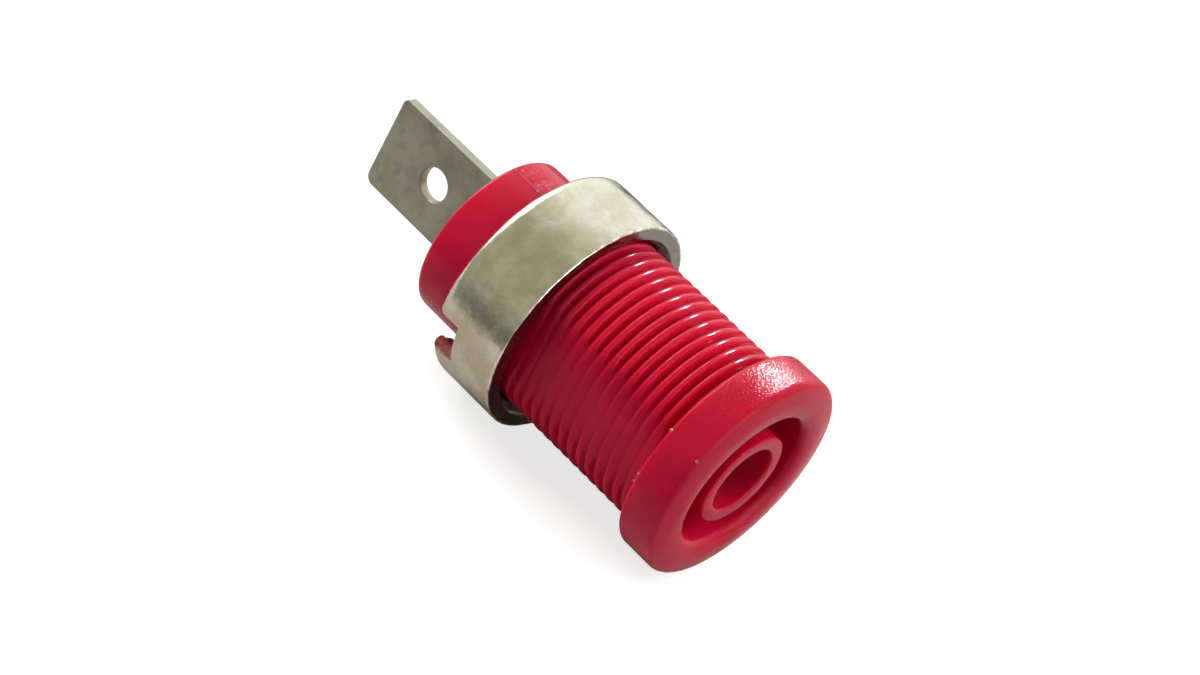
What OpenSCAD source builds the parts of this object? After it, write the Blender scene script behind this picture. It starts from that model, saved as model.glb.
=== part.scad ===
// Panel-mount safety socket for 4 mm plugs, with a ring nut and a flat blade terminal.
// Millimetres. The plug enters along +Y from the front (-Y); +Z is up.
// The origin is on the socket's axis, in the plane where the flange seats on the panel.

/* [Flange and mouth] */
// Overhang of the panel flange beyond the thread
flange_lip = 1; // [0.8:0.05:2.5]
// Thickness of the flange, from the panel seat to its front face
flange_t = 2.85; // [2.6:0.05:4]
// Radius that rounds the flange's front edge
flange_round = 0.45; // [0.2:0.05:0.6]
// Fall of the front face from its crown to the front edge
rim_fall = 0.3; // [0.1:0.05:0.5]
// Diameter of the front face's crown, with the fall outside it and the dish inside it
crown_d = 11.2; // [10:0.1:12]
// Radius that breaks the flange's rear edge
flange_break = 0.2; // [0.1:0.05:0.4]
// Depth of the dished front face where it meets the shroud groove
dish_depth = 0.1; // [0.05:0.05:0.4]
// Diameter of the dish where it meets the shroud groove
dish_d = 9.8; // [9.2:0.1:10]

/* [Barrel and collar] */
// Thread diameter, over the crests
thread_d = 12; // [11.6:0.1:13]
// Distance from crest to crest of the thread
thread_pitch = 0.76; // [0.5:0.01:1]
// Number of turns of thread on the barrel
thread_turns = 20; // [15:1:25]
// Depth of the thread, from its crests to its roots
thread_depth = 0.45; // [0.25:0.05:0.5]
// Distance across the two flats of the barrel
barrel_flats = 10.5; // [10:0.1:11.4]
// Chamfer on the rear end of the thread
thread_chamfer = 0.5; // [0.2:0.1:0.6]
// Diameter of the plain collar behind the thread
collar_d = 10.9; // [10:0.1:11]
// Length of the collar behind the thread
collar_l = 3.9; // [3.4:0.1:6]
// Radius that breaks the collar's rear edge
collar_break = 0.25; // [0.1:0.05:0.4]

/* [Plug cavity] */
// Bore of the contact, which takes the plug's pin
plug_d = 4; // [3.8:0.05:4.4]
// Diametral room for the plug's pin in the plastic nose
nose_room = 0.35; // [0.2:0.05:0.5]
// Depth of the plastic nose below the flange's rim
nose_inset = 0.3; // [0.2:0.05:0.8]
// Length of the plastic nose in front of the contact
nose_l = 1.8; // [1:0.1:3]
// Outer diameter of the insulating tube round the contact
tube_d = 6.1; // [5.8:0.1:6.6]
// Outer diameter of the groove for the plug's shroud
groove_d = 8.9; // [8.4:0.1:9]
// Thickness of the floor between the groove and the collar's rear face
floor_t = 2.9; // [2.4:0.1:4]

/* [Contact and blade] */
// Wall of the contact sleeve
sleeve_wall = 0.6; // [0.4:0.05:0.65]
// Diameter of the contact's slotted head
head_d = 7.2; // [6.9:0.1:8]
// Thickness of the contact's head
head_t = 1.3; // [1.1:0.1:2]
// Depth of the head below the collar's rear face
head_inset = 0.2; // [0.1:0.05:0.4]
// Width of the blade
blade_w = 6.1; // [4.8:0.1:6.3]
// Thickness of the blade
blade_t = 0.7; // [0.5:0.1:1]
// Length of the blade behind the collar
blade_l = 9.1; // [7:0.1:12]
// Depth of the blade's root in the contact's head
blade_root = 1; // [0.6:0.1:1.2]
// Thickness of the contact's web between the plug's bore and the blade's root
web_t = 1; // [0.6:0.1:2]
// Bevel along the blade's edges and tip
blade_bevel = 0.2; // [0.1:0.05:0.24]
// Corner radius at the blade's tip
blade_corner = 0.6; // [0.3:0.1:1.2]
// Diameter of the wire hole in the blade
wire_hole_d = 2.1; // [1.4:0.1:2.4]
// Distance of the wire hole from the blade's tip
wire_hole_in = 4.4; // [3:0.1:5]

/* [Ring nut] */
// Wall of the nut outside its bore
nut_wall = 1.25; // [1:0.05:2.5]
// Length of the nut
nut_l = 5.1; // [4:0.1:6]
// Radius that rounds the nut's rear edge
nut_round = 0.7; // [0.2:0.1:0.9]
// Countersink at both ends of the nut's bore
nut_countersink = 0.4; // [0.2:0.1:0.6]
// Width of the two spanner slots
slot_w = 3; // [2:0.1:4]
// Depth of the spanner slots
slot_depth = 1.85; // [1:0.05:2.5]
// Turn of the slots from the vertical, about the axis
slot_turn = 111; // [0:1:180]
// Gap between the panel seat and the nut's front face
nut_gap = 10.6; // [2:0.1:12]

/* [Clearances] */
// Radial room round the contact in its seat, and round the blade in its slot
seat_room = 0.03; // [0.01:0.01:0.08]
// Radial room between the nut's bore and the thread's crests
nut_room = 0.1; // [0.05:0.05:0.3]

/* [Hidden] */
$fn = 96;

// Length by which a cut runs past the face it opens, or one form runs into the next
past = 0.5;
// Shares of the pitch that are flat on each crest and in each root
crest_share = 0.2;
root_share = 0.06;

crest_r = thread_d / 2;
root_r = crest_r - thread_depth;
thread_l = thread_pitch * thread_turns;
rim_y = -flange_t;
dish_y = rim_y + dish_depth;
nose_y = rim_y + nose_inset;
contact_y = nose_y + nose_l;
rear_y = thread_l + collar_l;
groove_end = rear_y - floor_t;
sleeve_r = plug_d / 2 + sleeve_wall;
head_back = rear_y - head_inset;
head_front = head_back - head_t;
blade_base = head_back - blade_root;
plug_end = blade_base - web_t;
tip_y = rear_y + blade_l;
flange_r = crest_r + flange_lip;
nut_bore_r = crest_r + nut_room;
nut_r = nut_bore_r + nut_wall;

// Turns a profile drawn as (radius, distance behind the seat) about the socket's axis
module turned() {
    rotate([-90, 0, 0])
        rotate_extrude()
            children();
}

// Rectangle of a turned profile, between two radii and two distances
module band(r0, r1, y0, y1) {
    translate([r0, y0])
        square([r1 - r0, y1 - y0]);
}

// Solid round bar of a turned profile, with a rounded edge at its rear end
module round_edged(r, y0, y1, edge) {
    band(0, r - edge, y0, y1);
    band(0, r, y0, y1 - edge);
    translate([r - edge, y1 - edge])
        circle(r = edge);
}

// Flange outline: the face falls from its crown into a rounded front edge, and the rear edge is broken
module flange_profile() {
    edge_y = rim_y + rim_fall;
    fall = atan2(rim_fall, flange_r - crown_d / 2);
    reach = flange_round * tan((90 - fall) / 2);
    intersection() {
        union() {
            polygon([
                [0, rim_y],
                [crown_d / 2, rim_y],
                [flange_r - reach * cos(fall), edge_y - reach * sin(fall)],
                [flange_r, edge_y + reach],
                [flange_r, past],
                [0, past]
            ]);
            translate([flange_r - flange_round, edge_y + reach])
                circle(r = flange_round);
        }
        round_edged(flange_r, rim_y - past, 0, flange_break);
    }
}

// Radius of the thread at a distance behind the seat, held down by the chamfer on its rear end
function chamfered(r, y) = min(r, crest_r - max(0, y - thread_l + thread_chamfer));

// Outline of the barrel, grooved round between the crests of the thread, with a crest at the seat
module ridged_profile() {
    crest_half = crest_share * thread_pitch / 2;
    root_half = root_share * thread_pitch / 2;
    groove = [
        [crest_r, crest_half], [root_r, thread_pitch / 2 - root_half],
        [root_r, thread_pitch / 2 + root_half], [crest_r, thread_pitch - crest_half]
    ];
    polygon([
        [0, rim_y + past],
        [crest_r, rim_y + past],
        for (turn = [0 : thread_turns - 1], corner = groove)
            let (y = turn * thread_pitch + corner[1])
                [chamfered(corner[0], y), y],
        [chamfered(crest_r, thread_l), thread_l],
        [0, thread_l]
    ]);
}

// Threaded barrel, flattened on two sides
module barrel() {
    intersection() {
        turned()
            ridged_profile();
        translate([-barrel_flats / 2, rim_y, -thread_d])
            cube([barrel_flats, rear_y - rim_y, 2 * thread_d]);
    }
}

// Plain collar behind the thread, on a core that runs into the barrel inside its flats
module collar_profile() {
    round_edged(collar_d / 2, thread_l, rear_y, collar_break);
    band(0, min(collar_d, barrel_flats) / 2, thread_l - past, thread_l + past);
}

// Dished front face, and the annular groove for the plug's shroud round the recessed nose
module groove_profile() {
    groove_r = groove_d / 2;
    mouth_round = dish_d / 2 - groove_r;
    band(0, groove_r, rim_y - past, nose_y);
    band(tube_d / 2, groove_r, nose_y - past, groove_end);
    difference() {
        polygon([
            [tube_d / 2, rim_y - past],
            [crown_d / 2, rim_y - past],
            [crown_d / 2, rim_y],
            [dish_d / 2, dish_y],
            [dish_d / 2, dish_y + mouth_round],
            [tube_d / 2, dish_y + mouth_round]
        ]);
        translate([dish_d / 2, dish_y + mouth_round])
            circle(r = mouth_round);
    }
}

// Stepped hole for the plug's pin, the contact and its head
module contact_seat_profile() {
    band(0, (plug_d + nose_room) / 2, rim_y - past, contact_y);
    band(0, sleeve_r + seat_room, contact_y, head_front);
    band(0, head_d / 2 + seat_room, head_front, rear_y + past);
}

// One red moulding: flange, barrel, collar and the tube inside the groove
module socket_body() {
    color([0.76, 0.10, 0.17])
        difference() {
            union() {
                turned()
                    flange_profile();
                barrel();
                turned()
                    collar_profile();
            }
            turned()
                groove_profile();
            turned()
                contact_seat_profile();
        }
}

// Turned contact: a sleeve for the plug's pin and a slotted head for the blade
module contact_sleeve() {
    mouth = sleeve_wall / 2;
    color([0.80, 0.76, 0.62])
        difference() {
            turned() {
                band(0, sleeve_r, contact_y, head_front + past);
                band(0, head_d / 2, head_front, head_back);
            }
            turned() {
                band(0, plug_d / 2, contact_y - past, plug_end);
                polygon([
                    [0, contact_y - mouth],
                    [plug_d / 2 + 2 * mouth, contact_y - mouth],
                    [plug_d / 2, contact_y + mouth],
                    [0, contact_y + mouth]
                ]);
            }
            translate([-blade_t / 2 - seat_room, blade_base, -head_d])
                cube([blade_t + 2 * seat_room, blade_root + past, 2 * head_d]);
        }
}

// Outline of the blade from its root to its tip, drawn as (height, distance behind the seat)
module blade_outline() {
    half = blade_w / 2;
    corner_y = tip_y - blade_corner;
    translate([-half, blade_base])
        square([blade_w, corner_y - blade_base]);
    translate([-half + blade_corner, blade_base])
        square([blade_w - 2 * blade_corner, tip_y - blade_base]);
    for (side = [-1, 1])
        translate([side * (half - blade_corner), corner_y])
            circle(r = blade_corner);
}

// Section across the blade, with both long edges bevelled, drawn as (thickness, height)
module blade_section() {
    x = blade_t / 2;
    z = blade_w / 2;
    b = blade_bevel;
    polygon([
        [-x, b - z], [b - x, -z], [x - b, -z], [x, b - z],
        [x, z - b], [x - b, z], [b - x, z], [-x, z - b]
    ]);
}

// Section along the blade, with its tip bevelled, drawn as (thickness, distance behind the seat)
module blade_tip_section() {
    x = blade_t / 2;
    b = blade_bevel;
    polygon([
        [-x, blade_base], [x, blade_base],
        [x, tip_y - b], [x - b, tip_y], [b - x, tip_y], [-x, tip_y - b]
    ]);
}

// Stamped blade with bevelled edges and a wire hole
module blade_terminal() {
    color([0.62, 0.61, 0.53])
        difference() {
            intersection() {
                rotate([0, -90, 0])
                    translate([0, 0, -blade_t])
                        linear_extrude(2 * blade_t)
                            blade_outline();
                rotate([90, 0, 0])
                    translate([0, 0, -tip_y - past])
                        linear_extrude(tip_y - blade_base + 2 * past)
                            blade_section();
                translate([0, 0, -blade_w])
                    linear_extrude(2 * blade_w)
                        blade_tip_section();
            }
            translate([-blade_t, tip_y - wire_hole_in, 0])
                rotate([0, 90, 0])
                    cylinder(d = wire_hole_d, h = 2 * blade_t);
        }
}

// Ring nut with a rounded rear edge, a narrow front rim and two spanner slots
module ring_nut() {
    nut_back = nut_gap + nut_l;
    color([0.78, 0.75, 0.66])
        difference() {
            turned()
                difference() {
                    round_edged(nut_r, nut_gap, nut_back, nut_round);
                    nut_hole_profile(nut_gap, nut_back);
                }
            rotate([0, -slot_turn, 0])
                translate([-slot_w / 2, nut_back - slot_depth, -2 * nut_r])
                    cube([slot_w, slot_depth + past, 4 * nut_r]);
        }
}

// The nut's bore with a countersink at each end
module nut_hole_profile(front, back) {
    wide = nut_bore_r + nut_countersink + past;
    flare = nut_countersink + past;
    polygon([
        [0, front - past],
        [wide, front - past],
        [nut_bore_r, front - past + flare],
        [nut_bore_r, back + past - flare],
        [wide, back + past],
        [0, back + past]
    ]);
}

socket_body();
contact_sleeve();
blade_terminal();
ring_nut();
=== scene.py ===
import math
import bmesh
import bpy
from mathutils import Matrix, Vector, noise


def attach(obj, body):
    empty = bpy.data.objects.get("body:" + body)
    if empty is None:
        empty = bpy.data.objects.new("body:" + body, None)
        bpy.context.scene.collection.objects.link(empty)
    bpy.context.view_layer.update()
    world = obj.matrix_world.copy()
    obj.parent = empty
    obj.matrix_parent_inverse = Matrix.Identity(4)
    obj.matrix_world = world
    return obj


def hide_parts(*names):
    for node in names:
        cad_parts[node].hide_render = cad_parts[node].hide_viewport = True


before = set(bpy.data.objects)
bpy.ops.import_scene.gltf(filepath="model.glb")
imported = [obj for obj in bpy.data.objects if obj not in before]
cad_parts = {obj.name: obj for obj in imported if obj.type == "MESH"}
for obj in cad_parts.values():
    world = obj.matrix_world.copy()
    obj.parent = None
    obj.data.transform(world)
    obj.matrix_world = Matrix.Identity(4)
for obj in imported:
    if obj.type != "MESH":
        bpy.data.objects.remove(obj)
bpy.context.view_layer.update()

mm = 0.001             # meshes are shaped in millimetres and scaled to metres at the end
fullTurn = 2 * math.pi
quarterTurn = math.pi / 2
turnSteps = 216        # facets round every turned surface
weldReach = 1e-4       # vertices this close become one
planeReach = 1e-3      # points this close lie in a plane or on the axis
tinyReach = 1e-5       # edges this short go, and points this close to a cut lie on it
axisRadius = 1e-4      # stands for the axis in an outline, until the points there are welded
axisWeld = 1e-2        # the points there become one within this
flatFacing = 0.9999    # faces that look along X more squarely than this, such as the flats, stay flat
edgeSegments = 3       # facets across a rounded edge of a solid
black = (0, 0, 0, 1)
white = (1, 1, 1, 1)
scene = bpy.context.scene
scene.view_settings.view_transform = "Standard"
print("frame loaded:", ", ".join(sorted(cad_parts)))


def everything(bm):
    return bm.verts[:] + bm.edges[:] + bm.faces[:]


def fromAxis(vert):
    return math.hypot(vert.co.x, vert.co.z)


def about(turned, radius, y):
    # point at an angle about the axis, which is 0 at the top and grows towards -X
    angle = math.radians(turned)
    return Vector((-math.sin(angle) * radius, y, math.cos(angle) * radius))


def roundOff(bm, geom, affect, size, segments):
    # rounds the given vertices of an outline, or the given edges of a solid
    bmesh.ops.bevel(bm, geom=geom, affect=affect, offset=size, offset_type="OFFSET", segments=segments,
                    profile=0.5, material=-1, clamp_overlap=affect == "EDGES")


def addProfile(bm, corners):
    # corners are (radius, distance behind the seat, edge radius); the edge radius rounds that corner
    verts = [bm.verts.new((radius, y, 0)) for radius, y, _ in corners]
    for ends in zip(verts, verts[1:]):
        bm.edges.new(ends)
    for vert, (_, _, edgeRadius) in zip(verts, corners):
        if edgeRadius:
            segments = max(4, round(edgeRadius * 10))    # ten for each millimetre of the radius
            roundOff(bm, [vert], "VERTICES", edgeRadius, segments)


def turn(bm):
    bmesh.ops.spin(bm, geom=everything(bm), cent=(0, 0, 0), axis=(0, 1, 0), angle=fullTurn,
                   steps=turnSteps, use_merge=True)


def cutAt(bm, point, normal, clear=True):
    # everything on the side that the normal points to goes, or the cut only leaves an edge there
    bmesh.ops.bisect_plane(bm, geom=everything(bm), dist=tinyReach, plane_co=point, plane_no=normal,
                           clear_outer=clear)


def threadSkin(thread):
    # one straight section, periodic along the axis, swept round once while it climbs one pitch; it starts
    # two turns early, so that the cuts at both ends find a whole thread
    bm = bmesh.new()
    pitch, points = thread["pitch"], thread["points"]
    first = thread["start"] - 2 * pitch + thread["phase"]
    turns = math.ceil((thread["end"] - first) / pitch) + 1
    verts = []
    for k in range(turns * points):
        rise = math.sin(math.pi * (k % points) / points) ** thread["sharpness"]
        ridge = 1 - (1 - rise) ** thread["blunting"]
        radius = thread["root"] + (thread["crest"] - thread["root"]) * ridge
        verts.append(bm.verts.new((radius, first + k / points * pitch, 0)))
    edges = [bm.edges.new(pair) for pair in zip(verts, verts[1:])]
    bmesh.ops.spin(bm, geom=verts + edges, cent=(0, 0, 0), axis=(0, 1, 0), dvec=(0, pitch / turnSteps, 0),
                   angle=fullTurn, steps=turnSteps, use_merge=False)
    bmesh.ops.remove_doubles(bm, verts=bm.verts, dist=weldReach)
    cutAt(bm, (0, thread["start"], 0), (0, -1, 0))
    cutAt(bm, (0, thread["end"], 0), (0, 1, 0))
    return bm


def keepRadius(vert, low, high):
    # moves the vertex straight in or out, so that its radius lies between low and high
    radius = fromAxis(vert)
    wanted = min(max(radius, low), high)
    vert.co.x *= wanted / radius
    vert.co.z *= wanted / radius


def addMesh(bm, other):
    # the other bmesh's geometry joins this one
    carrier = bpy.data.meshes.new("carrier")
    other.to_mesh(carrier)
    other.free()
    bm.from_mesh(carrier)
    bpy.data.meshes.remove(carrier)


def openEdges(bm, y):
    return [e for e in bm.edges if e.is_boundary and all(abs(v.co.y - y) < planeReach for v in e.verts)]


def closeEnds(bm, thread):
    # fills the face between a thread and the turned outline at both ends
    for y in (thread["start"], thread["end"]):
        bmesh.ops.triangle_fill(bm, edges=openEdges(bm, y), use_beauty=True)


def fillHoles(bm):
    bmesh.ops.holes_fill(bm, edges=[e for e in bm.edges if e.is_boundary], sides=0)


def thicken(bm, offset):
    # a copy of the faces moves by the offset, with walls between the two
    moved = bmesh.ops.extrude_face_region(bm, geom=bm.faces[:], use_keep_orig=True)["geom"]
    bmesh.ops.translate(bm, vec=offset, verts=[g for g in moved if isinstance(g, bmesh.types.BMVert)])


def newObject(name, bm, material):
    mesh = bpy.data.meshes.new(name)
    bm.to_mesh(mesh)
    bm.free()
    mesh.materials.append(material)
    thing = bpy.data.objects.new(name, mesh)
    scene.collection.objects.link(thing)
    return thing


def finishPiece(name, bm, material, body, node, sharpAngle):
    bmesh.ops.remove_doubles(bm, verts=bm.verts, dist=weldReach)
    bmesh.ops.dissolve_degenerate(bm, edges=bm.edges, dist=tinyReach)
    bmesh.ops.recalc_face_normals(bm, faces=bm.faces)
    for edge in bm.edges:
        edge.smooth = not (edge.is_manifold and edge.calc_face_angle(0) > math.radians(sharpAngle))
    for face in bm.faces:
        face.smooth = abs(face.normal.x) < flatFacing
    loose = sum(1 for e in bm.edges if not e.is_manifold)
    bmesh.ops.scale(bm, vec=(mm, mm, mm), verts=bm.verts)
    piece = newObject(name, bm, material)
    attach(piece, body)
    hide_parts(node)
    print(name, "has", len(piece.data.polygons), "faces and", loose, "open edges")
    return piece


def feed(tree, socket, value):
    # a socket takes a link from another node, or a constant
    if isinstance(value, bpy.types.NodeSocket):
        tree.links.new(value, socket)
    else:
        socket.default_value = value


def addNode(tree, kind, values=None, **settings):
    node = tree.nodes.new("ShaderNode" + kind)
    for key, value in settings.items():
        setattr(node, key, value)
    for key, value in (values or {}).items():
        feed(tree, node.inputs[key], value)
    return node


def maths(tree, operation, *values):
    node = addNode(tree, "Math", dict(enumerate(values)), operation=operation)
    return node.outputs[0]


def times(tree, product, *factors):
    for factor in factors:
        product = maths(tree, "MULTIPLY", product, factor)
    return product


def mixed(tree, share, low, high):
    # colour that goes from low to high with the share; 6, 7 and 2 are the node's colour sockets
    return addNode(tree, "Mix", {0: share, 6: low, 7: high}, data_type="RGBA").outputs[2]


def ranged(tree, value, span, low=0, high=1):
    # goes smoothly from low to high as the value crosses the span
    values = {0: value, 1: span[0], 2: span[1], 3: low, 4: high}
    return addNode(tree, "MapRange", values, interpolation_type="SMOOTHSTEP").outputs[0]


def along(tree, point, direction):
    # how far the point lies along the direction
    return addNode(tree, "VectorMath", {0: point, 1: direction}, operation="DOT_PRODUCT").outputs["Value"]


def place(tree):
    # where a point of the object lies, in millimetres: itself, its parts and its radius about the axis
    coords = addNode(tree, "TexCoord").outputs["Object"]
    point = addNode(tree, "VectorMath", {0: coords, 1: (1 / mm,) * 3}, operation="MULTIPLY").outputs[0]
    x, y, z = addNode(tree, "SeparateXYZ", {0: point}).outputs
    radius = maths(tree, "SQRT", maths(tree, "ADD", times(tree, x, x), times(tree, z, z)))
    return {"point": point, "x": x, "y": y, "z": z, "radius": radius}


def nearPoints(tree, point, spots, span):
    # 1 at every (place, size), falling to 0 across the span, which counts in sizes
    mask = 0.0
    for spot, size in spots:
        away = addNode(tree, "VectorMath", {0: point, 1: spot}, operation="DISTANCE").outputs["Value"]
        near = ranged(tree, away, [share * size for share in span], 1, 0)
        mask = maths(tree, "MAXIMUM", mask, near)
    return mask


def nearPlane(tree, point, turned, span):
    # 1 at a plane through the axis, which stands at an angle about it, falling to 0 across the span
    angle = math.radians(turned)
    off = along(tree, point, (math.cos(angle), 0, math.sin(angle)))
    return ranged(tree, maths(tree, "ABSOLUTE", off), span, 1, 0)


def past(start, span):
    return tuple(start + reach for reach in span)


def newMaterial(name, color):
    material = bpy.data.materials.new(name)
    material.use_nodes = True
    material.diffuse_color = color
    tree = material.node_tree
    return material, tree, tree.nodes["Principled BSDF"]


def addBump(tree, shader, height, strength, depth):
    bump = addNode(tree, "Bump", {"Strength": strength, "Distance": depth * mm, "Height": height})
    tree.links.new(bump.outputs[0], shader.inputs["Normal"])


def newGroup(name, inputs, output):
    # node group of number sockets, with its inputs as label and default
    tree = bpy.data.node_groups.new(name, "ShaderNodeTree")
    for label, value in inputs.items():
        socket = tree.interface.new_socket(label, in_out="INPUT", socket_type="NodeSocketFloat")
        socket.default_value = value
    tree.interface.new_socket(output, in_out="OUTPUT", socket_type="NodeSocketFloat")
    return tree, tree.nodes.new("NodeGroupInput").outputs, tree.nodes.new("NodeGroupOutput").inputs


def useGroup(tree, group, values):
    node = tree.nodes.new("ShaderNodeGroup")
    node.node_tree = group
    for key, value in values.items():
        feed(tree, node.inputs[key], value)
    return node.outputs[0]


# cloudy variation, as a mask from 0 to 1
clouds, cloudsIn, cloudsOut = newGroup("clouds", {"Scale": 1.0, "Low": 0.4, "High": 0.6}, "Mask")
cloudNoise = addNode(clouds, "TexNoise", {
    "Vector": place(clouds)["point"], "Scale": cloudsIn["Scale"], "Detail": 4.0, "Roughness": 0.6})
cloudMask = ranged(clouds, cloudNoise.outputs[0], (cloudsIn["Low"], cloudsIn["High"]))
clouds.links.new(cloudMask, cloudsOut["Mask"])

# scattered spots: the middles of small cells, of which a share is kept
specks, specksIn, specksOut = newGroup("specks", {"Scale": 1.0, "Size": 0.2, "Share": 0.3}, "Mask")
speckCells = addNode(specks, "TexVoronoi", {"Vector": place(specks)["point"], "Scale": specksIn["Scale"]})
speckDraw = addNode(specks, "SeparateColor", {0: speckCells.outputs["Color"]}).outputs[0]
speckKept = maths(specks, "LESS_THAN", speckDraw, specksIn["Share"])
speckNear = ranged(specks, speckCells.outputs["Distance"], (specksIn["Size"], 0.0))
specks.links.new(times(specks, speckKept, speckNear), specksOut["Mask"])

# fine rings left by turning, which run round the axis
toolRings, ringsIn, ringsOut = newGroup("toolRings", {"Fineness": 10.0, "Breaks": 0.3}, "Height")
ringSpot = place(toolRings)
ringAngle = maths(toolRings, "ARCTAN2", ringSpot["x"], ringSpot["z"])
ringPlace = addNode(toolRings, "CombineXYZ", {
    0: times(toolRings, ringSpot["y"], ringsIn["Fineness"]),
    1: times(toolRings, ringSpot["radius"], ringsIn["Fineness"]),
    2: times(toolRings, ringAngle, ringsIn["Breaks"])})
ringNoise = addNode(toolRings, "TexNoise", {"Vector": ringPlace.outputs[0], "Scale": 1.0, "Detail": 3.0})
toolRings.links.new(ringNoise.outputs[0], ringsOut["Height"])
print("shared effects made")


# The flange, groove, tube, seat and collar are one turned outline, from the seat's loop round to the neck,
# which joins the collar to the end of the threaded barrel.
bodyShape = {
    "corners": [
        (6.6, 0, 0), (7, 0, 0.2), (7, -2.55, 0.36), (5.6, -2.85, 0.4), (4.45, -2.71, 0.45),
        (4.45, 16.2, 0.3), (3.05, 16.2, 0.3), (3.05, -2.55, 0.12), (2.175, -2.55, 0.15), (2.175, -0.75, 0),
        (2.63, -0.75, 0), (2.63, 17.6, 0), (3.63, 17.6, 0), (3.63, 19.1, 0.1), (5.45, 19.1, 0.25),
        (5.45, 15.2, 0), (5.1, 15.2, 0), (5.1, 15.198, 0)],
    "collarRadius": 5.45,
    "flats": 5.25,
    "flatSoft": 0.17,
    "chamfer": 0.5,
    "sharpAngle": 50,
}
bodyThread = {"crest": 6.0, "root": 5.6, "start": 0.0, "end": 15.198, "pitch": 0.76, "points": 14,
              "sharpness": 2.0, "blunting": 1.9, "phase": 0.12}
# the collar's seam, and the crumbs of flash on the flange and the collar as (place, size)
flash = {
    "seamTurn": 14,
    "seamSize": 0.045,
    "seamSides": 10,
    "seamSunk": 0.02,
    "seamFrom": 15.6,
    "seamTo": 18.95,
    "crumbs": [
        (about(62.8, 6.93, -0.06), 0.1), (about(88.5, 6.94, -0.05), 0.07), (about(93, 6.94, -0.04), 0.06),
        (about(65, 6.94, -2.36), 0.07), (about(9.8, 5.44, 17.2), 0.09), (about(14.5, 5.44, 16.9), 0.06)],
}
redLook = {
    "deep": (0.56, 0.0040, 0.037, 1),
    "bright": (0.62, 0.0052, 0.045, 1),
    # pale scuffs are wear; on the collar's rub patches the same pale colour is partly a painted sheen
    "paleWearAndSheen": (0.72, 0.20, 0.25, 1),
    # painted highlight on the crumbs of flash and on the seam
    "crumbHighlight": (0.74, 0.20, 0.24, 1),
    "tone": {"Scale": 0.35, "Low": 0.35, "High": 0.65},
    "scuffs": {"Scale": 1.1, "Size": 0.16, "Share": 0.06},
    "scuffShare": 0.3,
    "collar": (15.4, 15.6),
    "rubsAndSheen": {"Scale": 3.2, "Low": 0.5, "High": 0.62},
    "rubTurn": 5,
    "rubSpan": (0.5, 1.0),
    "rubShare": 0.4,
    "seamSpan": (0.03, 0.08),
    "seamHighlightShare": 0.35,
    "crumbSpan": (1.15, 1.5),
    "haze": {"Scale": 1.6, "Low": 0.3, "High": 0.7},
    "roughness": (0.12, 0.24),
    "grain": {"Scale": 8.0, "Detail": 3.0},
    "grainStrength": 0.6,
    "grainDepth": 0.06,
    "rimDepth": (-0.3, 0),
    "rimRadius": (6, 6.6),
    "offRim": 0.15,
    "bending": 1.53,
    "gloss": 0.15,
    "soaking": (1.0, 0.2, 0.6),
    "clearness": 1.0,
}


def makeRedMoulding():
    material, tree, shader = newMaterial("redMoulding", redLook["bright"])
    spot = place(tree)
    tone = useGroup(tree, clouds, redLook["tone"])
    color = mixed(tree, tone, redLook["deep"], redLook["bright"])
    scuffs = useGroup(tree, specks, redLook["scuffs"])
    color = mixed(tree, times(tree, scuffs, redLook["scuffShare"]), color, redLook["paleWearAndSheen"])
    onCollar = ranged(tree, spot["y"], redLook["collar"])
    # the collar is painted pale in patches beside its seam: rubbed patches, partly wear and partly a painted
    # sheen where they catch the light from above
    rubsAndSheen = useGroup(tree, clouds, redLook["rubsAndSheen"])
    besideSeam = nearPlane(tree, spot["point"], redLook["rubTurn"], redLook["rubSpan"])
    rubbedAndSheen = times(tree, onCollar, besideSeam, rubsAndSheen, redLook["rubShare"])
    color = mixed(tree, rubbedAndSheen, color, redLook["paleWearAndSheen"])
    # painted highlight: the seam and the crumbs of flash are painted pale where their glints show
    seam = times(tree, onCollar, nearPlane(tree, spot["point"], flash["seamTurn"], redLook["seamSpan"]))
    color = mixed(tree, times(tree, seam, redLook["seamHighlightShare"]), color, redLook["crumbHighlight"])
    crumbs = nearPoints(tree, spot["point"], flash["crumbs"], redLook["crumbSpan"])
    color = mixed(tree, crumbs, color, redLook["crumbHighlight"])
    tree.links.new(color, shader.inputs["Base Color"])
    haze = useGroup(tree, clouds, redLook["haze"])
    tree.links.new(ranged(tree, haze, (0, 1), *redLook["roughness"]), shader.inputs["Roughness"])
    # the mould was sparked round the flange's rim, which leaves a grain in its highlight
    grain = addNode(tree, "TexNoise", {"Vector": spot["point"], **redLook["grain"]}).outputs[0]
    onFlange = ranged(tree, spot["y"], redLook["rimDepth"], 1, redLook["offRim"])
    onRim = times(tree, onFlange, ranged(tree, spot["radius"], redLook["rimRadius"], redLook["offRim"], 1))
    addBump(tree, shader, times(tree, grain, onRim), redLook["grainStrength"], redLook["grainDepth"])
    shader.inputs["IOR"].default_value = redLook["bending"]
    shader.inputs["Specular IOR Level"].default_value = redLook["gloss"]
    # light soaks into the red and fills the valleys of the thread, but not into the thin flash
    solid = maths(tree, "SUBTRACT", 1.0, maths(tree, "MAXIMUM", crumbs, seam))
    tree.links.new(solid, shader.inputs["Subsurface Weight"])
    shader.inputs["Subsurface Radius"].default_value = redLook["soaking"]
    shader.inputs["Subsurface Scale"].default_value = redLook["clearness"] * mm
    return material


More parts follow.
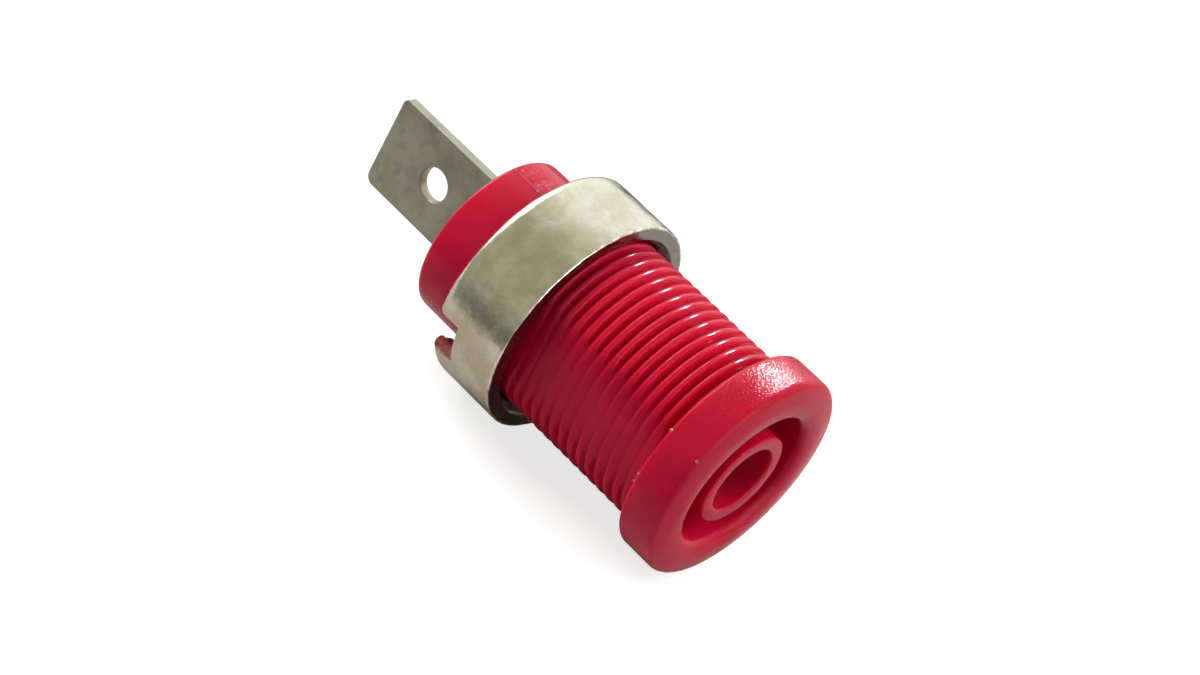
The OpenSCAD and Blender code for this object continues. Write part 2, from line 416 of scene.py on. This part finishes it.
def addFlash(bm):
    # half-sunk rods and balls stand for the seam and the crumbs of flash
    length = flash["seamTo"] - flash["seamFrom"]
    middleY = flash["seamFrom"] + length / 2
    for turned in (flash["seamTurn"], flash["seamTurn"] + 180):
        middle = about(turned, bodyShape["collarRadius"] - flash["seamSunk"], middleY)
        lying = Matrix.Translation(middle) @ Matrix.Rotation(quarterTurn, 4, "X")
        bmesh.ops.create_cone(bm, cap_ends=True, segments=flash["seamSides"], radius1=flash["seamSize"],
                              radius2=flash["seamSize"], depth=length, matrix=lying)
    for point, size in flash["crumbs"]:
        bmesh.ops.create_icosphere(bm, subdivisions=2, radius=size, matrix=Matrix.Translation(point))


def makeBody():
    skin = threadSkin(bodyThread)
    taperStart = bodyThread["end"] - bodyShape["chamfer"]
    for vert in skin.verts:
        keepRadius(vert, 0, bodyThread["crest"] - max(0, vert.co.y - taperStart))
        # the flats press the ridges down, and the ridges fade out softly into them
        side = math.copysign(1, vert.co.x)
        over = (side * vert.co.x - bodyShape["flats"]) / bodyShape["flatSoft"]
        vert.co.x -= side * bodyShape["flatSoft"] * math.log1p(math.exp(over))
    bm = bmesh.new()
    addProfile(bm, bodyShape["corners"])
    turn(bm)
    addMesh(bm, skin)
    closeEnds(bm, bodyThread)
    addFlash(bm)
    return finishPiece("socketMoulding", bm, makeRedMoulding(), "socket", "socket_body",
                       bodyShape["sharpAngle"])


moulding = makeBody()


nutShape = {
    "front": 10.6,
    "back": 15.7,
    "mouth": 6.5,
    "faceInner": 6.55,
    "outer": 7.35,
    "frontEdge": 0.1,
    "backEdge": 0.7,
    "slotWidth": 3.0,
    "slotFloor": 13.85,
    "slotTurn": 111,
    "wornRim": 0.06,
    "dents": [(0.8, 0.9), (0.6, 2.3)],      # how strong and how close the knocks on the rim are
    "sharpAngle": 35,
}
nutThread = {"crest": 6.1, "root": 6.42, "start": 10.6, "end": 15.7, "pitch": 0.76, "points": 8,
             "sharpness": 1.5, "blunting": 1, "phase": 0}
nutLook = {
    "plate": (0.71, 0.70, 0.575, 1),
    "warm": (0.595, 0.56, 0.41, 1),
    "pit": (0.34, 0.31, 0.22, 1),
    # pale flecks, and the painted highlight on the front edge
    "fleckAndGlint": (0.95, 0.95, 0.90, 1),
    "tarnish": (0.80, 0.72, 0.58, 1),
    # painted shade on the nut's front face
    "dullAndShade": (0.27, 0.255, 0.235, 1),
    # painted shade in the nut's bore
    "bore": (0.13, 0.10, 0.10, 1),
    "warmth": {"Scale": 0.5, "Low": 0.36, "High": 0.6},
    "pits": {"Scale": 1.6, "Size": 0.11, "Share": 0.08},
    "pitShare": 0.5,
    "pitSunk": 0.1,
    "flecks": {"Scale": 3.1, "Size": 0.13, "Share": 0.07},
    "fleckShare": 0.7,
    # where the painted shade on the front face and in the bore lies
    "faceShadeDepth": (0.02, 0.08),
    "faceShadeRadius": (7.2, 7.26),
    "boreRadius": (6.48, 6.54),
    # where the painted highlight on the front edge lies
    "glintEdgeDepth": (0.06, 0.16),
    "edgeRadius": (7.2, 7.28),
    "knockedGlints": {"Scale": 1.8, "Low": 0.48, "High": 0.55},
    "slotDepth": (-0.01, 0.05),
    "slotSpan": (0.005, 0.015),
    "stains": {"Scale": 1.2, "Low": 0.3, "High": 0.55},
    "satin": {"Scale": 0.9, "Low": 0.3, "High": 0.7},
    "roughness": (0.145, 0.285),
    "turned": 0.5,
    "ripple": {"Scale": 0.9, "Detail": 3.0},
    "rippleRadius": (6.9, 7.3),
    "rippleStrength": 0.42,
    "rippleDepth": 0.08,
}


def makeNutNickel():
    material, tree, shader = newMaterial("nutNickel", nutLook["plate"])
    spot = place(tree)
    warmth = useGroup(tree, clouds, nutLook["warmth"])
    color = mixed(tree, warmth, nutLook["plate"], nutLook["warm"])
    pits = useGroup(tree, specks, nutLook["pits"])
    color = mixed(tree, times(tree, pits, nutLook["pitShare"]), color, nutLook["pit"])
    flecks = useGroup(tree, specks, nutLook["flecks"])
    color = mixed(tree, times(tree, flecks, nutLook["fleckShare"]), color, nutLook["fleckAndGlint"])
    # painted shade: the front face is painted darker where it mirrors dark surroundings, and the bore is
    # painted dark as its shade; a painted highlight shines in broken spots along the knocked front edge
    inFaceShade = ranged(tree, spot["y"], past(nutShape["front"], nutLook["faceShadeDepth"]), 1, 0)
    faceShade = times(tree, inFaceShade, ranged(tree, spot["radius"], nutLook["faceShadeRadius"], 1, 0))
    color = mixed(tree, faceShade, color, nutLook["dullAndShade"])
    # painted shade: the bore is darkened
    color = mixed(tree, ranged(tree, spot["radius"], nutLook["boreRadius"], 1, 0), color, nutLook["bore"])
    # painted highlight: broken near-white spots along the knocked front edge stand for its glints
    inGlintEdge = ranged(tree, spot["y"], past(nutShape["front"], nutLook["glintEdgeDepth"]), 1, 0)
    glintEdge = times(tree, inGlintEdge, ranged(tree, spot["radius"], nutLook["edgeRadius"]))
    knockedGlints = useGroup(tree, clouds, nutLook["knockedGlints"])
    color = mixed(tree, times(tree, glintEdge, knockedGlints), color, nutLook["fleckAndGlint"])
    behindFloor = ranged(tree, spot["y"], past(nutShape["slotFloor"], nutLook["slotDepth"]))
    slotWalls = past(nutShape["slotWidth"] / 2, nutLook["slotSpan"])
    inSlot = times(tree, behindFloor, nearPlane(tree, spot["point"], nutShape["slotTurn"], slotWalls))
    stains = useGroup(tree, clouds, nutLook["stains"])
    color = mixed(tree, times(tree, inSlot, stains), color, nutLook["tarnish"])
    tree.links.new(color, shader.inputs["Base Color"])
    shader.inputs["Metallic"].default_value = 1.0
    satin = useGroup(tree, clouds, nutLook["satin"])
    tree.links.new(ranged(tree, satin, (0, 1), *nutLook["roughness"]), shader.inputs["Roughness"])
    # the tool's rings run round the nut and stretch its reflections along the axis
    shader.inputs["Anisotropic"].default_value = nutLook["turned"]
    tangent = addNode(tree, "Tangent", direction_type="RADIAL", axis="Y")
    tree.links.new(tangent.outputs[0], shader.inputs["Tangent"])
    ripple = addNode(tree, "TexNoise", {"Vector": spot["point"], **nutLook["ripple"]}).outputs[0]
    height = maths(tree, "SUBTRACT", ripple, times(tree, pits, nutLook["pitSunk"]))
    height = times(tree, height, ranged(tree, spot["radius"], nutLook["rippleRadius"]))
    addBump(tree, shader, height, nutLook["rippleStrength"], nutLook["rippleDepth"])
    return material


def wearRim(bm):
    # knocks wear the front rim unevenly
    reach = 2 * nutShape["frontEdge"]
    for vert in bm.verts:
        if vert.co.y < nutShape["front"] + reach and fromAxis(vert) > nutShape["outer"] - reach:
            dents = sum(depth * noise.noise(vert.co * closeness) for depth, closeness in nutShape["dents"])
            vert.co.y += nutShape["wornRim"] * max(0, dents)


def cutSlot(bm):
    # one slot runs right across the nut's back and leaves two notches in the ring
    outward = about(nutShape["slotTurn"], 1, 0)
    across = Vector((outward.z, 0, -outward.x))
    half, floorY = nutShape["slotWidth"] / 2, nutShape["slotFloor"]
    for side in (-1, 1):
        cutAt(bm, across * side * half, across, clear=False)
    cutAt(bm, (0, floorY, 0), (0, 1, 0), clear=False)
    inSlot = [f for f in bm.faces if abs(f.calc_center_median().dot(across)) < half
              and f.calc_center_median().y > floorY]
    bmesh.ops.delete(bm, geom=inSlot, context="FACES")
    for side in (-1, 1):
        rim = [e for e in openEdges(bm, floorY) if all(v.co.dot(outward) * side > 0 for v in e.verts)]
        bmesh.ops.bridge_loops(bm, edges=rim)
    fillHoles(bm)


def makeNut():
    front, back, outer = nutShape["front"], nutShape["back"], nutShape["outer"]
    skin = threadSkin(nutThread)
    for vert in skin.verts:
        inFromFace = min(vert.co.y - front, back - vert.co.y)
        keepRadius(vert, nutShape["mouth"] - inFromFace, nutShape["mouth"])
    bm = bmesh.new()
    addProfile(bm, [(nutShape["faceInner"], front, 0), (outer, front, nutShape["frontEdge"]),
                    (outer, back, nutShape["backEdge"]), (nutShape["faceInner"], back, 0)])
    turn(bm)
    wearRim(bm)
    addMesh(bm, skin)
    closeEnds(bm, nutThread)
    bmesh.ops.remove_doubles(bm, verts=bm.verts, dist=weldReach)
    cutSlot(bm)
    finishPiece("ringNut", bm, makeNutNickel(), "nut", "ring_nut", nutShape["sharpAngle"])


makeNut()


# sleeve with a blind bore, and a head slotted for the blade
contactShape = {
    "corners": [
        (2.0, 16.9, 0.2), (2.0, -0.45, 0.1), (2.3, -0.75, 0.05), (2.6, -0.75, 0.08), (2.6, 17.62, 0),
        (3.6, 17.62, 0.05), (3.6, 17.95, 0)],
    "boreEnd": 16.9,
    "headFront": 17.95,
    "headRadius": 3.6,
    "headBack": 18.9,
    "slotFloor": 17.9,
    "slotHalf": 0.38,
    "edge": 0.08,
    "sharpAngle": 35,
}
contactLook = {
    "plate": (0.62, 0.58, 0.46, 1),
    "worn": (0.62, 0.47, 0.24, 1),
    "wear": {"Scale": 0.8, "Low": 0.5, "High": 0.75},
    "rings": {"Fineness": 9.0, "Breaks": 0.4},
    "ringSpan": (0.3, 0.7),
    "roughness": (0.2, 0.36),
    "ringStrength": 0.3,
    "ringDepth": 0.008,
}


def makeContactNickel():
    material, tree, shader = newMaterial("contactNickel", contactLook["plate"])
    wear = useGroup(tree, clouds, contactLook["wear"])
    color = mixed(tree, wear, contactLook["plate"], contactLook["worn"])
    tree.links.new(color, shader.inputs["Base Color"])
    shader.inputs["Metallic"].default_value = 1.0
    rings = useGroup(tree, toolRings, contactLook["rings"])
    roughness = ranged(tree, rings, contactLook["ringSpan"], *contactLook["roughness"])
    tree.links.new(roughness, shader.inputs["Roughness"])
    addBump(tree, shader, rings, contactLook["ringStrength"], contactLook["ringDepth"])
    return material


def makeCheek(side):
    # half of the head, on one side of its slot
    floorY, backY = contactShape["slotFloor"], contactShape["headBack"]
    bm = bmesh.new()
    onAxis = Matrix.Translation((0, floorY, 0)) @ Matrix.Rotation(-quarterTurn, 4, "X")
    bmesh.ops.create_circle(bm, cap_ends=True, radius=contactShape["headRadius"], segments=turnSteps,
                            matrix=onAxis)
    thicken(bm, (0, backY - floorY, 0))
    cutAt(bm, (side * contactShape["slotHalf"], 0, 0), (-side, 0, 0))
    fillHoles(bm)
    bmesh.ops.recalc_face_normals(bm, faces=bm.faces)
    crown = [e for e in bm.edges if all(abs(v.co.y - backY) < planeReach for v in e.verts)]
    roundOff(bm, crown, "EDGES", contactShape["edge"], edgeSegments)
    return bm


def makeContact():
    bm = bmesh.new()
    addProfile(bm, [(axisRadius, contactShape["boreEnd"], 0), *contactShape["corners"],
                    (axisRadius, contactShape["headFront"], 0)])
    turn(bm)
    bmesh.ops.remove_doubles(bm, verts=[v for v in bm.verts if fromAxis(v) < planeReach], dist=axisWeld)
    for side in (-1, 1):
        addMesh(bm, makeCheek(side))
    finishPiece("plugContact", bm, makeContactNickel(), "socket", "contact_sleeve",
                contactShape["sharpAngle"])


makeContact()


bladeShape = {
    "halfWidth": 3.05,
    "root": 17.9,
    "tip": 28.2,
    "thickness": 0.7,
    "cornerTop": 0.35,
    "cornerBottom": 0.6,
    "cornerSegments": 8,
    "bevel": 0.22,
    "holeAt": 23.8,
    "holeRadius": 1.05,
    "holeSegments": 64,
    "holeEdge": 0.07,
    "holeZone": 1.6,
    "broadFacing": 0.9,
    "sharpAngle": 30,
}
bladeLook = {
    "plate": (0.40, 0.395, 0.325, 1),
    "stain": (0.36, 0.33, 0.24, 1),
    "dullAndShade": (0.29, 0.28, 0.27, 1),
    "stains": {"Scale": 0.5, "Low": 0.42, "High": 0.66},
    "dulled": {"Scale": 0.85, "Low": 0.5, "High": 0.68},
    "dullShare": 0.7,
    "haze": {"Scale": 2.5, "Low": 0.3, "High": 0.7},
    "roughness": (0.31, 0.46),
    "rolled": {"Scale": 3.0, "Detail": 4.0},
    "rolledStrength": 0.2,
    "rolledDepth": 0.012,
}


def makeBladeNickel():
    material, tree, shader = newMaterial("bladeNickel", bladeLook["plate"])
    stains = useGroup(tree, clouds, bladeLook["stains"])
    color = mixed(tree, stains, bladeLook["plate"], bladeLook["stain"])
    dulled = useGroup(tree, clouds, bladeLook["dulled"])
    color = mixed(tree, times(tree, dulled, bladeLook["dullShare"]), color, bladeLook["dullAndShade"])
    tree.links.new(color, shader.inputs["Base Color"])
    shader.inputs["Metallic"].default_value = 1.0
    haze = useGroup(tree, clouds, bladeLook["haze"])
    tree.links.new(ranged(tree, haze, (0, 1), *bladeLook["roughness"]), shader.inputs["Roughness"])
    rolled = addNode(tree, "TexNoise", {"Vector": place(tree)["point"], **bladeLook["rolled"]}).outputs[0]
    addBump(tree, shader, rolled, bladeLook["rolledStrength"], bladeLook["rolledDepth"])
    return material


def bladeRim(bm, inHole):
    # edges between a broad face and a wall, round the hole or round the outline
    middle = Vector((bladeShape["holeAt"], 0))
    found = []
    for e in bm.edges:
        broadSides = sorted(abs(f.normal.x) > bladeShape["broadFacing"] for f in e.link_faces)
        nearHole = (e.verts[0].co.yz - middle).length < bladeShape["holeZone"]
        if broadSides == [False, True] and nearHole == inHole:
            found.append(e)
    return found


def makeBlade():
    bm = bmesh.new()
    half, x = bladeShape["halfWidth"], -bladeShape["thickness"] / 2
    root, tip = bladeShape["root"], bladeShape["tip"]
    outline = [bm.verts.new((x, y, z)) for y, z in ((root, -half), (tip, -half), (tip, half), (root, half))]
    for ends in zip(outline, outline[1:] + outline[:1]):
        bm.edges.new(ends)
    for vert, size in ((outline[1], bladeShape["cornerBottom"]), (outline[2], bladeShape["cornerTop"])):
        roundOff(bm, [vert], "VERTICES", size, bladeShape["cornerSegments"])
    across = Matrix.Translation((x, bladeShape["holeAt"], 0)) @ Matrix.Rotation(quarterTurn, 4, "Y")
    bmesh.ops.create_circle(bm, cap_ends=False, radius=bladeShape["holeRadius"],
                            segments=bladeShape["holeSegments"], matrix=across)
    bmesh.ops.triangle_fill(bm, edges=bm.edges[:], use_beauty=True)
    thicken(bm, (bladeShape["thickness"], 0, 0))
    bmesh.ops.recalc_face_normals(bm, faces=bm.faces)
    for inHole, size in ((True, bladeShape["holeEdge"]), (False, bladeShape["bevel"])):
        roundOff(bm, bladeRim(bm, inHole), "EDGES", size, edgeSegments)
    finishPiece("bladeTerminal", bm, makeBladeNickel(), "socket", "blade_terminal",
                bladeShape["sharpAngle"])


makeBlade()


# The floor is plain and pale. It throws less light back in front of the part and to its right. In the metal
# it shows in steps, each from a direction and a span along it: a dim strip, what lies beyond, and the back.
floorLook = {
    "height": -7.5,
    "size": 3000,
    "color": (0.36, 0.36, 0.36, 1),
    "glow": 0.75,
    "roughness": 0.8,
    "bounce": (0.48, 0.48, 0.53, 1),
    "shade": (0.1, 0.1, 0.11, 1),
    "leftBack": (-0.5, 0.85, 0),
    "shadeSpan": (-14, 4),
    "mirrorNear": (0.56, 0.52, 0.48, 1),
    "mirrorSteps": [
        ((-1, 0, 0), (17, 20), (0.08, 0.08, 0.075, 1)),
        ((-1, 0, 0), (21, 70), (0.34, 0.33, 0.27, 1)),
        ((0.6, 0.8, 0), (28, 44), (0.08, 0.08, 0.075, 1))],
}


def makeFloorPaint():
    material, tree, shader = newMaterial("floorPaint", floorLook["color"])
    point = place(tree)["point"]
    ray = addNode(tree, "LightPath").outputs
    mirrored = floorLook["mirrorNear"]
    for direction, span, shown in floorLook["mirrorSteps"]:
        mirrored = mixed(tree, ranged(tree, along(tree, point, direction), span), mirrored, shown)
    lit = ranged(tree, along(tree, point, floorLook["leftBack"]), floorLook["shadeSpan"])
    matt = mixed(tree, lit, floorLook["shade"], floorLook["bounce"])
    unseen = mixed(tree, ray["Is Glossy Ray"], matt, mirrored)
    color = mixed(tree, ray["Is Camera Ray"], unseen, floorLook["color"])
    tree.links.new(color, shader.inputs["Base Color"])
    tree.links.new(mixed(tree, ray["Is Camera Ray"], black, white), shader.inputs["Emission Color"])
    shader.inputs["Emission Strength"].default_value = floorLook["glow"]
    shader.inputs["Roughness"].default_value = floorLook["roughness"]
    return material


floorMesh = bmesh.new()
bmesh.ops.create_grid(floorMesh, x_segments=1, y_segments=1, size=floorLook["size"] * mm / 2,
                      matrix=Matrix.Translation((0, 0, floorLook["height"] * mm)))
paleFloor = newObject("paleFloor", floorMesh, makeFloorPaint())

# A pale dome stands round the set. It shows behind the part and in glossy surfaces, and lights no matt ones.
domeLook = {
    "radius": 1300,
    "color": (0.9, 0.9, 0.9, 1),
    "brightSide": (0.8, 0.3, 0.5),
    "brightSpan": (0.15, 1.05),
    "dim": (0.47, 0.455, 0.36, 1),
    "bright": (1.25, 1.25, 1.25, 1),
}


def makeDomePaint():
    material, tree, shader = newMaterial("domePaint", domeLook["color"])
    brightWay = Vector(domeLook["brightSide"]).normalized() / domeLook["radius"]
    towards = ranged(tree, along(tree, place(tree)["point"], brightWay), domeLook["brightSpan"])
    level = mixed(tree, towards, domeLook["dim"], domeLook["bright"])
    seen = addNode(tree, "LightPath").outputs["Is Camera Ray"]
    tree.links.new(mixed(tree, seen, level, white), shader.inputs["Emission Color"])
    shader.inputs["Emission Strength"].default_value = 1.0
    shader.inputs["Base Color"].default_value = black
    shader.inputs["Specular IOR Level"].default_value = 0.0
    return material


domeMesh = bmesh.new()
bmesh.ops.create_icosphere(domeMesh, subdivisions=4, radius=domeLook["radius"] * mm)
paleDome = newObject("paleDome", domeMesh, makeDomePaint())
paleDome.visible_diffuse = False
scene.world = bpy.data.worlds.new("studio")
scene.world.color = black[:3]

# direction towards each light from the part, its distance and size in millimetres, its power in watts, and
# whether it lights the matt or the glossy side of the surfaces; a light says only what isn't usual
usualLight = {"distance": 300, "size": (200, 200), "side": "matt"}
studioLights = {
    "rearSky": {"towards": (-0.23, 0.65, 0.7), "power": 0.93},
    "frontSky": {"towards": (0.5, -0.58, 0.64), "power": 0.56},
    "sideSky": {"towards": (-0.3, -0.8, 0.52), "power": 0.17},
    "overSky": {"towards": (0, -0.48, 0.87), "power": 0.12},
    "keyBox": {"towards": (0.635, 0.25, 0.69), "distance": 260, "size": (38, 26), "power": 1.15,
               "side": "glossy", "only": moulding},
    "backBox": {"towards": (0.1, 0.88, 0.4), "size": (210, 290), "power": 0.67, "side": "glossy"},
    "frontBox": {"towards": (-0.1, -0.9, 0.35), "size": (340, 340), "power": 0.65, "side": "glossy"},
}
partMiddle = Vector((0, 10, 0))
for name, special in studioLights.items():
    light = {**usualLight, **special}
    data = bpy.data.lights.new(name, "AREA")
    data.energy = light["power"]
    data.shape = "RECTANGLE"
    data.size, data.size_y = (length * mm for length in light["size"])
    lamp = bpy.data.objects.new(name, data)
    towards = Vector(light["towards"]).normalized()
    lamp.location = (partMiddle + towards * light["distance"]) * mm
    lamp.rotation_euler = towards.to_track_quat("Z", "Y").to_euler()
    lamp.visible_glossy = light["side"] == "glossy"
    lamp.visible_diffuse = light["side"] == "matt"
    if "only" in light:
        lamp.light_linking.receiver_collection = bpy.data.collections.new(name + "Takers")
        lamp.light_linking.receiver_collection.objects.link(light["only"])
    scene.collection.objects.link(lamp)

# angles in degrees, lengths in millimetres, and the clipping range in metres
cameraView = {"azimuth": -63.176, "elevation": 30.218, "roll": 29.804, "distance": 184.39,
              "lookAt": (0.184, 9.640, 0.104), "lens": 97.3, "sensor": 36, "clip": (0.01, 20)}


def makeCamera():
    az, el, roll = (math.radians(cameraView[k]) for k in ("azimuth", "elevation", "roll"))
    back = Vector((math.sin(az) * math.cos(el), -math.cos(az) * math.cos(el), math.sin(el)))
    level = Vector((math.cos(az), math.sin(az), 0))
    upright = back.cross(level)
    right = level * math.cos(roll) + upright * math.sin(roll)
    up = upright * math.cos(roll) - level * math.sin(roll)
    data = bpy.data.cameras.new("photoCamera")
    data.lens = cameraView["lens"]
    data.sensor_width = cameraView["sensor"]
    data.clip_start, data.clip_end = cameraView["clip"]
    camera = bpy.data.objects.new("photoCamera", data)
    stand = (Vector(cameraView["lookAt"]) + back * cameraView["distance"]) * mm
    camera.matrix_world = Matrix.Translation(stand) @ Matrix((right, up, back)).transposed().to_4x4()
    scene.collection.objects.link(camera)
    scene.camera = camera


makeCamera()
print("studio set")
